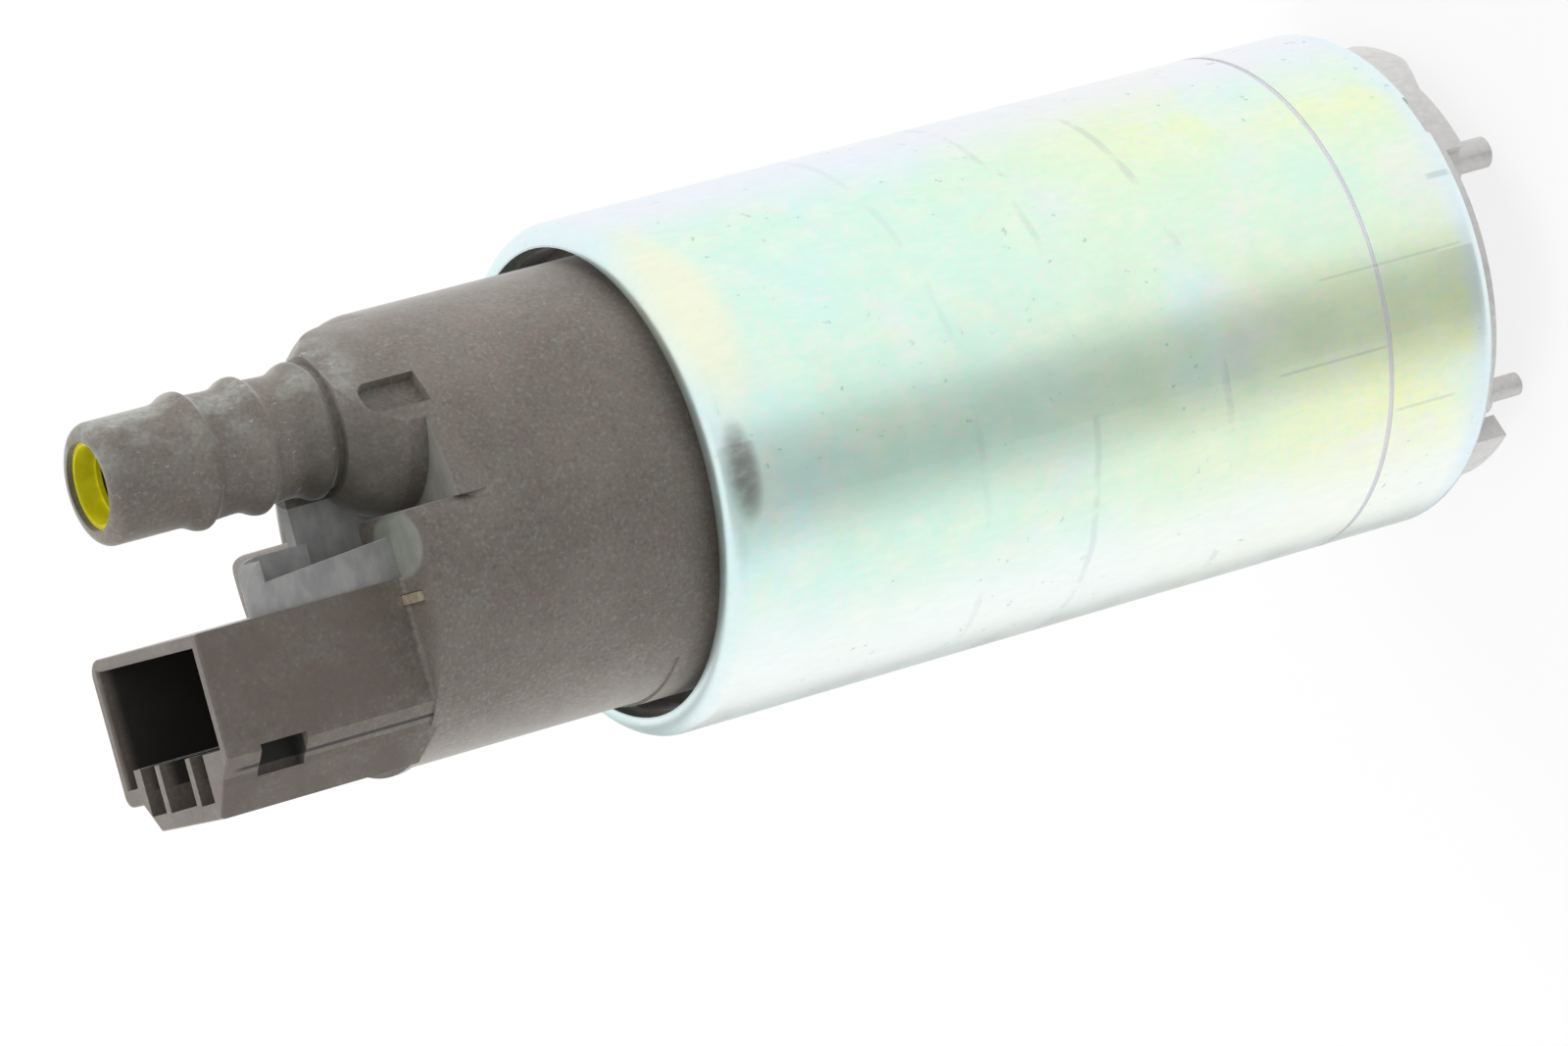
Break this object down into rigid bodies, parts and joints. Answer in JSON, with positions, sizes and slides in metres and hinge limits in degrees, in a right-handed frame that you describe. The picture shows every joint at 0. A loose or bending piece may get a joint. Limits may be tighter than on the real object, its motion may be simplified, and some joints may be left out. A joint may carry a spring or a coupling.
{
  "type": "fuel pump",
  "caption": "Electric in-tank fuel pump: zinc-plated steel tube housing, moulded end cap with barbed outlet pipe and connector socket, cast suction cover with inlet pipe.",
  "frame": {"origin": "on the motor axis, in the plane of the feet: the tips of the two strainer pins and the end of the inlet pipe", "axes": "+Z along the motor axis from the suction end to the outlet; +Y towards the side that carries the outlet pipe, away from the connector socket; +X out of the flat side of the socket"},
  "size_m": [0.043, 0.043, 0.1288],
  "materials": {
    "zinc": "bright zinc plate with a pale green and yellow sheen",
    "cap_plastic": "glass-filled moulding, mottled brown-grey",
    "cast_aluminium": "as cast, grainy",
    "yellow_plastic": "plain moulding",
    "impeller_plastic": "phenolic moulding",
    "steel": "ground",
    "core_steel": "stacked sheet",
    "bronze": "sintered",
    "copper": "enamelled wire",
    "brass": "stamped strip",
    "ferrite": "sintered, dull",
    "carbon": "pressed carbon",
    "spring_steel": "drawn wire"
  },
  "bodies": {
    "casing": {"housing": "zinc", "suction_cover": "cast_aluminium", "thrust_button": "steel", "pump_body": "cast_aluminium", "lower_bearing": "bronze", "upper_bearing": "bronze", "magnet_right": "ferrite", "magnet_left": "ferrite", "clip_front": "spring_steel", "clip_back": "spring_steel", "end_cap": "cap_plastic", "valve_cage": "yellow_plastic", "valve_spring": "spring_steel", "brush_spring_positive": "spring_steel", "brush_spring_negative": "spring_steel", "terminal_positive": "brass", "terminal_negative": "brass", "choke_core_positive": "ferrite", "choke_core_negative": "ferrite", "choke_coil_positive": "copper", "choke_coil_negative": "copper", "lead_strip": "brass"},
    "rotor": {"shaft": "steel", "armature_core": "core_steel", "winding": "copper", "lower_spacer": "impeller_plastic", "upper_spacer": "impeller_plastic", "upper_washer": "steel", "commutator": "carbon", "impeller": "impeller_plastic"},
    "check_valve": {"valve_piston": "impeller_plastic"},
    "brush_positive": {"brush_positive": "carbon"},
    "brush_negative": {"brush_negative": "carbon"}
  },
  "joints": [
    {"name": "rotor_spin", "type": "hinge", "parent": "casing", "child": "rotor", "pos_m": [0, 0, 0.0445], "axis": [0, 0, 1], "continuous": true},
    {"name": "check_valve_lift", "type": "slide", "parent": "casing", "child": "check_valve", "axis": [0, 0, 1], "range_m": [0, 0.0025], "stiffness_N_per_m": 120, "springref_m": -0.002, "deforming": ["valve_spring"]},
    {"name": "brush_positive_slide", "type": "slide", "parent": "casing", "child": "brush_positive", "axis": [0, 0, 1], "range_m": [0, 0.003], "stiffness_N_per_m": 150, "springref_m": -0.006, "deforming": ["brush_spring_positive"]},
    {"name": "brush_negative_slide", "type": "slide", "parent": "casing", "child": "brush_negative", "axis": [0, 0, 1], "range_m": [0, 0.003], "stiffness_N_per_m": 150, "springref_m": -0.006, "deforming": ["brush_spring_negative"]}
  ]
}
